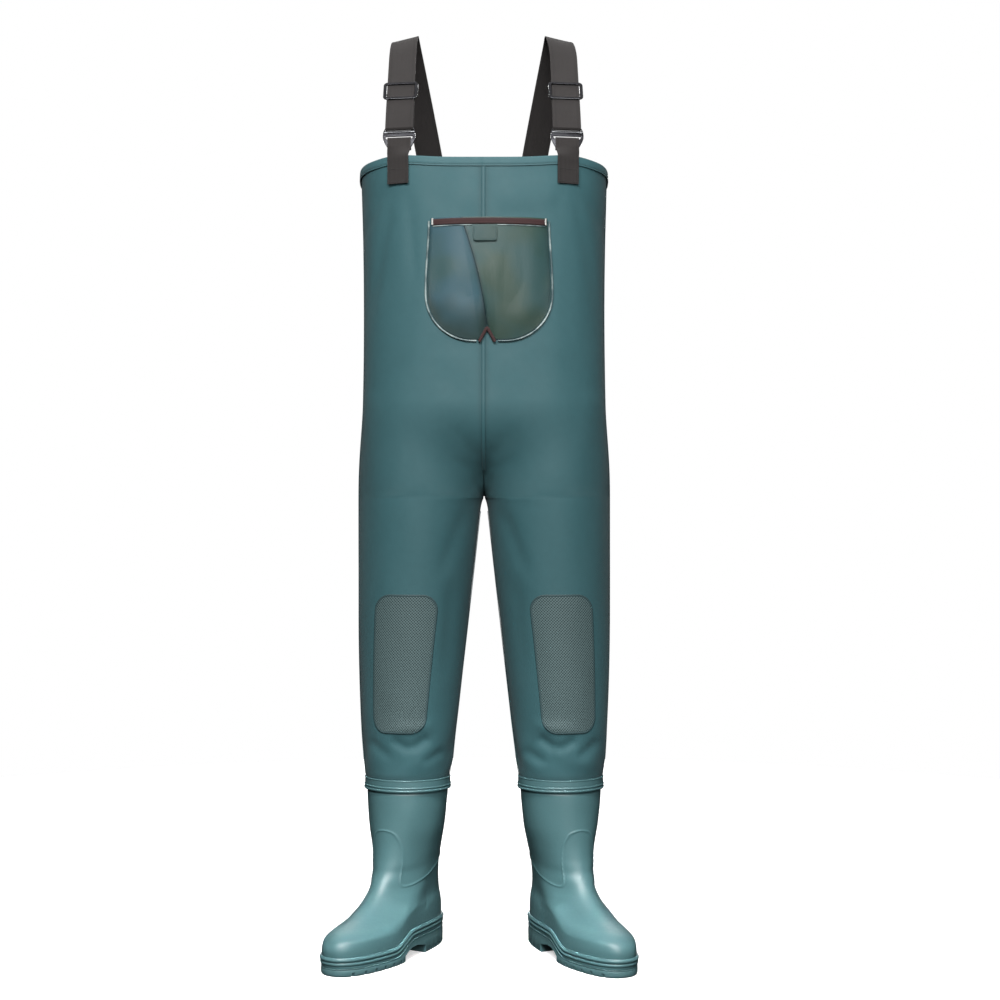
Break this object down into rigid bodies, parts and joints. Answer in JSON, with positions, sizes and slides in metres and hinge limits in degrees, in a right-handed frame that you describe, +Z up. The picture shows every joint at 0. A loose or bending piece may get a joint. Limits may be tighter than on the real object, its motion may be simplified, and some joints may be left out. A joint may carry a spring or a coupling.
{
  "type": "chest waders",
  "caption": "Bib-front fishing waders in coated fabric with moulded boots, a chest pocket, knee patches and webbing braces with adjustable buckles.",
  "frame": {"origin": "on the floor, under the middle of the bounding box", "axes": "+Z up, the front of the waders faces -Y, +X is to the viewer's right; left and right in names are the viewer's"},
  "size_m": [0.4956, 0.3683, 1.4953],
  "materials": {
    "coated_fabric": "matte coated nylon",
    "hem_fabric": "matte coated nylon, folded",
    "seam_weld": "satin weld",
    "pocket_fabric": "satin coated nylon",
    "pocket_binding": "woven tape",
    "pocket_piping": "satin piping",
    "white_thread": "matte thread",
    "hook_and_loop": "matte pile",
    "knee_mesh": "textured patch",
    "boot_rubber": "satin moulded",
    "sole_rubber": "matte moulded",
    "insole_foam": "matte foam",
    "webbing": "matte woven",
    "buckle_metal": "dark nickel, satin"
  },
  "bodies": {
    "waders": {"front_left_panel": "coated_fabric", "back_left_panel": "coated_fabric", "left_side_seam": "seam_weld", "left_side_seam_tape": "seam_weld", "left_inseam": "seam_weld", "left_inseam_tape": "seam_weld", "left_knee_patch": "knee_mesh", "left_boot_shell": "boot_rubber", "left_cuff_band": "boot_rubber", "left_rand": "boot_rubber", "left_outsole": "sole_rubber", "left_insole": "insole_foam", "left_shoulder_strap": "webbing", "left_strap_return": "webbing", "left_front_tab": "webbing", "pocket_left_panel": "pocket_fabric", "pocket_left_piping": "pocket_piping", "pocket_left_bar_tack": "white_thread", "front_right_panel": "coated_fabric", "back_right_panel": "coated_fabric", "right_side_seam": "seam_weld", "right_side_seam_tape": "seam_weld", "right_inseam": "seam_weld", "right_inseam_tape": "seam_weld", "right_knee_patch": "knee_mesh", "right_boot_shell": "boot_rubber", "right_cuff_band": "boot_rubber", "right_rand": "boot_rubber", "right_outsole": "sole_rubber", "right_insole": "insole_foam", "right_shoulder_strap": "webbing", "right_strap_return": "webbing", "right_front_tab": "webbing", "pocket_right_panel": "pocket_fabric", "pocket_right_piping": "pocket_piping", "pocket_right_bar_tack": "white_thread", "front_center_seam": "seam_weld", "back_center_seam": "seam_weld", "center_seam_tape": "seam_weld", "chest_hem": "hem_fabric", "pocket_mouth_binding": "pocket_binding", "pocket_notch_binding": "pocket_binding", "pocket_loop_pad": "hook_and_loop"},
    "left_slider_body": {"left_slider": "buckle_metal", "left_strap_end": "webbing"},
    "right_slider_body": {"right_slider": "buckle_metal", "right_strap_end": "webbing"},
    "left_ring_body": {"left_ring": "buckle_metal"},
    "right_ring_body": {"right_ring": "buckle_metal"},
    "pocket_tab_body": {"pocket_tab": "pocket_fabric", "pocket_tab_hook_pad": "hook_and_loop"}
  },
  "joints": [
    {"name": "left_slider_slide", "type": "slide", "parent": "waders", "child": "left_slider_body", "axis": [0.0127, 0.5299, 0.848], "range_m": [-0.022, 0.048], "deforming": ["left_strap_return"]},
    {"name": "left_ring_tilt", "type": "hinge", "parent": "waders", "child": "left_ring_body", "pos_m": [-0.1261, -0.1009, 1.32], "axis": [0.9972, -0.0694, 0.0285], "range_deg": [-10, 10], "stiffness_Nm_per_rad": 0.02, "deforming": ["left_front_tab"]},
    {"name": "right_slider_slide", "type": "slide", "parent": "waders", "child": "right_slider_body", "axis": [-0.0225, 0.5298, 0.8478], "range_m": [-0.022, 0.048], "deforming": ["right_strap_return"]},
    {"name": "right_ring_tilt", "type": "hinge", "parent": "waders", "child": "right_ring_body", "pos_m": [0.1381, -0.1009, 1.32], "axis": [0.997, 0.0746, -0.0201], "range_deg": [-10, 10], "stiffness_Nm_per_rad": 0.02, "deforming": ["right_front_tab"]},
    {"name": "pocket_tab_lift", "type": "hinge", "parent": "waders", "child": "pocket_tab_body", "pos_m": [0.0094, -0.15291, 1.1608], "axis": [-1, 0, 0], "range_deg": [0, 120]}
  ]
}
